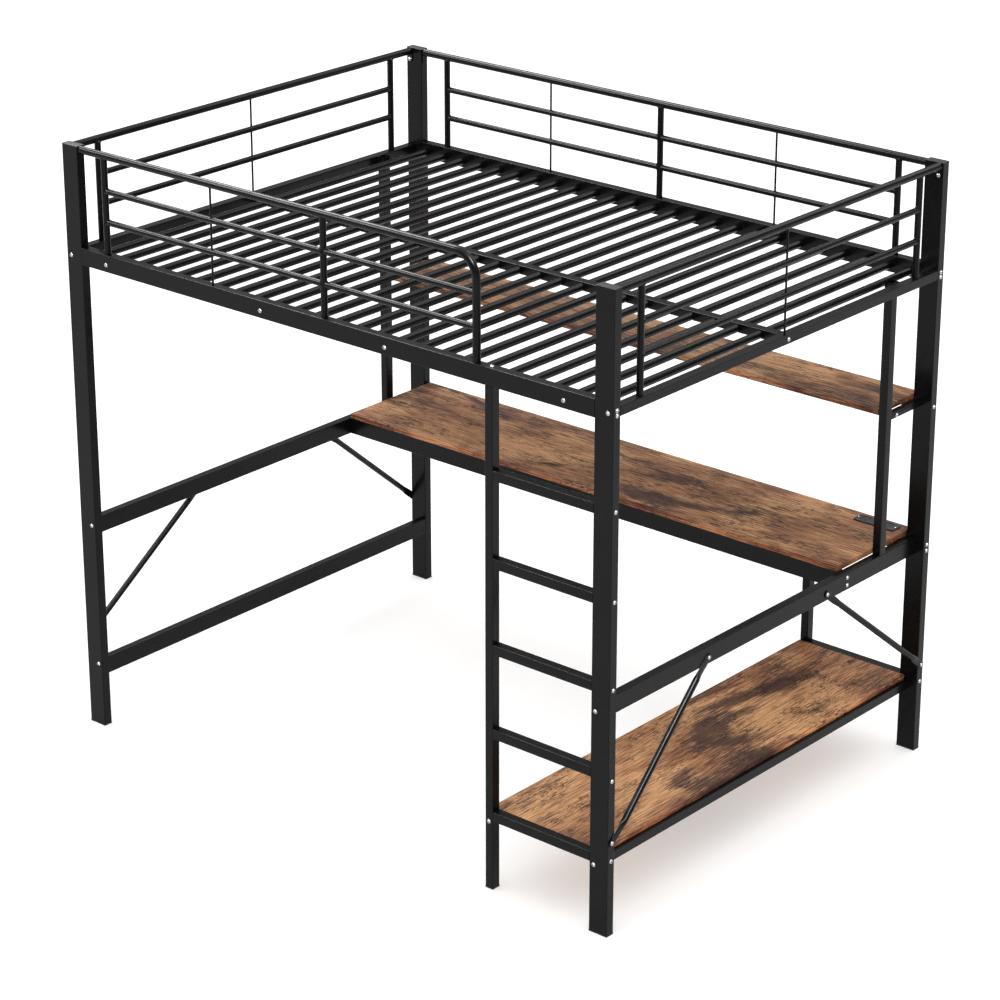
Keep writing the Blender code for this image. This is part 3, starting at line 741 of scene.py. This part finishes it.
def rounded_outline(width, depth, radius, steps=6):
    """Points round a rectangle centred on the origin, with an arc at each corner."""
    points = []
    for quarter, (side_x, side_y) in enumerate(((1, 1), (-1, 1), (-1, -1), (1, -1))):
        for step in range(steps + 1):
            angle = math.pi / 2 * (quarter + step / steps)
            x = side_x * (width / 2 - radius) + radius * math.cos(angle)
            points.append((x, side_y * (depth / 2 - radius) + radius * math.sin(angle)))
    return points


def prism(shape, outline, centre, low, high):
    """A closed upright prism of an outline round a centre."""
    rings = []
    for z in (low, high):
        rings.append([shape.verts.new((centre[0] + x, centre[1] + y, z)) for x, y in outline])
    bridge(shape, rings[0], rings[1])
    for ring in rings:
        shape.faces.new(ring)


def carved(body, cutter):
    """A closed shape with other closed shapes cut out of it."""
    pieces = []
    for label, shape in (("body", body), ("cutter", cutter)):
        bmesh.ops.recalc_face_normals(shape, faces=shape.faces)
        mesh = bpy.data.meshes.new(label)
        shape.to_mesh(mesh)
        shape.free()
        piece = bpy.data.objects.new(label, mesh)
        bpy.context.scene.collection.objects.link(piece)
        pieces.append(piece)
    cut = pieces[0].modifiers.new("cut", "BOOLEAN")
    cut.operation = "DIFFERENCE"
    cut.solver = "EXACT"
    cut.object = pieces[1]
    result = bmesh.new()
    result.from_object(pieces[0], bpy.context.evaluated_depsgraph_get())
    for piece in pieces:
        mesh = piece.data
        bpy.data.objects.remove(piece)
        bpy.data.meshes.remove(mesh)
    return result


def faceplate(low, high, centre):
    """The outlet's plate, before its holes are cut."""
    width, depth, rise = high - low
    plate = bmesh.new()
    rings = []
    for inset, share in PLATE_RIM:
        outline = rounded_outline(width - 2 * inset, depth - 2 * inset, PLATE_CORNER - inset * 0.5)
        z = low.z + rise * share
        rings.append([plate.verts.new((centre[0] + x, centre[1] + y, z)) for x, y in outline])
    for ring, following in zip(rings, rings[1:]):
        bridge(plate, ring, following)
    plate.faces.new(rings[0])
    plate.faces.new(rings[-1])
    return plate


def build_outlet():
    """The outlet: a faceplate with two mains sockets, two charging ports between them, and two screws."""
    low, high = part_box("outlet_faceplate")
    x, y = (low.x + high.x) / 2, (low.y + high.y) / 2
    recesses, holes, tongues = bmesh.new(), bmesh.new(), bmesh.new()
    floor = high.z - HOLE_DEPTH
    above = high.z + 0.001
    for side in (-1, 1):
        socket_x = x + side * SOCKET_OFFSET
        prism(recesses, rounded_outline(*SOCKET_OUTLINE), (socket_x, y), high.z - SOCKET_RECESS, above)
        for way in (-1, 1):
            slot = (socket_x + way * SLOT_PLACE[0], y + SLOT_PLACE[1])
            prism(holes, rounded_outline(*SLOT_OUTLINE), slot, floor, above)
        prism(holes, rounded_outline(*EARTH_OUTLINE), (socket_x, y + EARTH_PLACE), floor, above)
    for side in (-1, 1):
        port = (x, y + side * PORT_OFFSET)
        prism(holes, rounded_outline(*PORT_OUTLINE), port, floor, above)
        prism(tongues, rounded_outline(*TONGUE_OUTLINE), port, floor - TONGUE_ROOT, high.z - TONGUE_TOP)
    plate = carved(carved(faceplate(low, high, (x, y)), recesses), holes)
    finish_piece("outlet_faceplate_moulded", plate, OUTLET, ("outlet_faceplate",))
    finish_piece("outlet_port_tongues", tongues, CONTACT)
    reach = (high.x - low.x) / 2 - SCREW_INSET
    screws = [(x + side * reach, y, high.z) for side in (-1, 1)]
    bolt_group("outlet_screws", screws, (0, 0, 1), OUTLET_SCREW)


# ---------------------------------------------------------------- the studio


def build_camera():
    """The camera at the photograph's viewing angle."""
    data = bpy.data.cameras.new("camera")
    data.lens = CAMERA_LENS
    data.sensor_width = CAMERA_SENSOR
    data.shift_y = CAMERA_SHIFT_Y
    data.clip_end = CAMERA_CLIP
    camera = bpy.data.objects.new("camera", data)
    azimuth, elevation = math.radians(CAMERA_AZIMUTH), math.radians(CAMERA_ELEVATION)
    ahead = Vector(
        (
            -math.sin(azimuth) * math.cos(elevation),
            math.cos(azimuth) * math.cos(elevation),
            -math.sin(elevation),
        )
    )
    camera.location = CAMERA_PLACE
    camera.rotation_mode = "QUATERNION"
    camera.rotation_quaternion = ahead.to_track_quat("-Z", "Y")
    bpy.context.scene.collection.objects.link(camera)
    bpy.context.scene.camera = camera


def build_floor():
    """A plain pale floor."""
    shape = bmesh.new()
    bmesh.ops.create_grid(shape, x_segments=1, y_segments=1, size=FLOOR_SIZE)
    mesh = bpy.data.meshes.new("studio_floor")
    shape.to_mesh(mesh)
    shape.free()
    floor = bpy.data.objects.new("studio_floor", mesh)
    bpy.context.scene.collection.objects.link(floor)
    finish = bpy.data.materials.new("studio_floor")
    finish.use_nodes = True
    shader = finish.node_tree.nodes["Principled BSDF"]
    shader.inputs["Base Color"].default_value = (FLOOR_SHADE, FLOOR_SHADE, FLOOR_SHADE, 1.0)
    shader.inputs["Roughness"].default_value = 0.9
    shader.inputs["Specular IOR Level"].default_value = 0.1
    shader.inputs["Emission Color"].default_value = (1.0, 1.0, 1.0, 1.0)
    shader.inputs["Emission Strength"].default_value = FLOOR_GLOW
    mesh.materials.append(finish)


def area_light(name, place, aim, size, power):
    """A square softbox aimed at a point, for highlights only."""
    data = bpy.data.lights.new(name, "AREA")
    data.size = size
    data.energy = power
    light = bpy.data.objects.new(name, data)
    light.location = place
    light.rotation_mode = "QUATERNION"
    light.rotation_quaternion = (Vector(aim) - Vector(place)).to_track_quat("-Z", "Y")
    light.visible_diffuse = False
    bpy.context.scene.collection.objects.link(light)


def build_studio():
    """Soft light from all round, stronger from above. Past the floor's edge the backdrop is white."""
    world = bpy.data.worlds.new("studio")
    bpy.context.scene.world = world
    world.use_nodes = True
    tree = world.node_tree
    background = tree.nodes["Background"]
    up = add_node(tree, "SeparateXYZ", {"Vector": add_node(tree, "TexCoord").outputs["Generated"]})
    light = spread(tree, up.outputs[2], SKY_TURN, 1.0, SKY_LOW, SKY_HIGH)
    backdrop = add_node(tree, "LightPath").outputs["Is Camera Ray"]
    light = maths(tree, "MAXIMUM", light, backdrop)
    tree.links.new(light, background.inputs["Strength"])
    background.inputs["Color"].default_value = (1.0, 1.0, 1.0, 1.0)
    for name, azimuth, elevation, height, size, radiance in SOFTBOXES:
        turn, lift = math.radians(azimuth), math.radians(elevation)
        across = math.cos(lift)
        way = Vector((math.sin(turn) * across, -math.cos(turn) * across, math.sin(lift)))
        aim = Vector((0.0, 0.0, height))
        area_light(name, aim + way * SOFTBOX_DISTANCE, aim, size, radiance * math.pi * size**2)
    bpy.context.scene.view_settings.view_transform = "Standard"


smooth_nodes()
finish_nodes()
build_guardrails()
build_slats()
build_bolts()
build_outlet()
build_camera()
build_floor()
build_studio()
